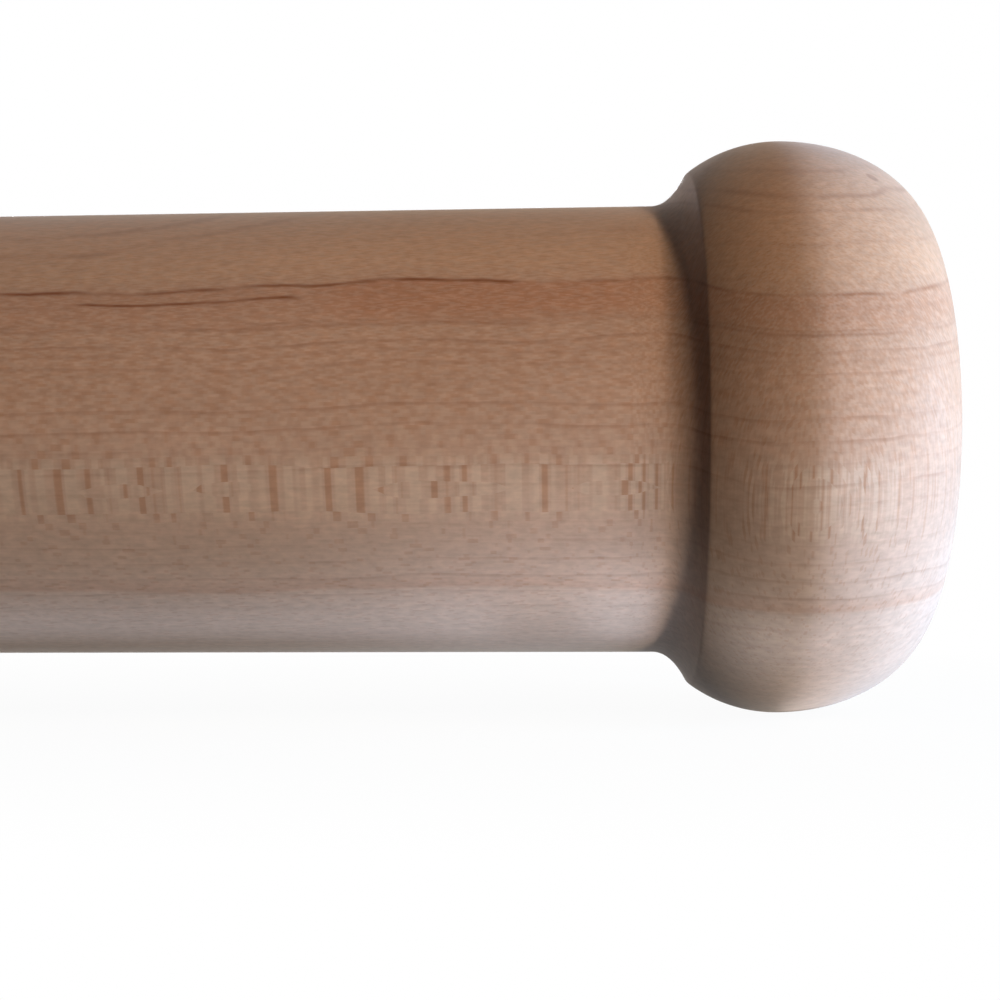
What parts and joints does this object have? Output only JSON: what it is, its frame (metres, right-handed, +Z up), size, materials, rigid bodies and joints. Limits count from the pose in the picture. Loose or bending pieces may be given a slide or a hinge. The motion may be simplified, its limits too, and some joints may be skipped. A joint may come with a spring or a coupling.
{
  "type": "rolling pin",
  "caption": "Straight turned maple rolling pin with a mushroom-shaped raised knob at each end, which it rolls on to leave dough at an even thickness.",
  "frame": {"origin": "on the pin's axis, halfway along the barrel", "axes": "+X along the pin's axis towards the pictured knob, +Z up with the pin lying on its knobs"},
  "size_m": [0.502, 0.0568, 0.0568],
  "materials": {
    "barrel_maple": "turned along the grain, sanded and wiped with oil to a soft satin",
    "knob_maple": "turned, sanded and wiped with oil to a soft satin, end grain on the end face",
    "dowel_birch": "fluted and left bare for glue"
  },
  "bodies": {
    "root": {"barrel": "barrel_maple", "knob_right": "knob_maple", "knob_left": "knob_maple", "dowel_right": "dowel_birch", "dowel_left": "dowel_birch"}
  },
  "joints": []
}
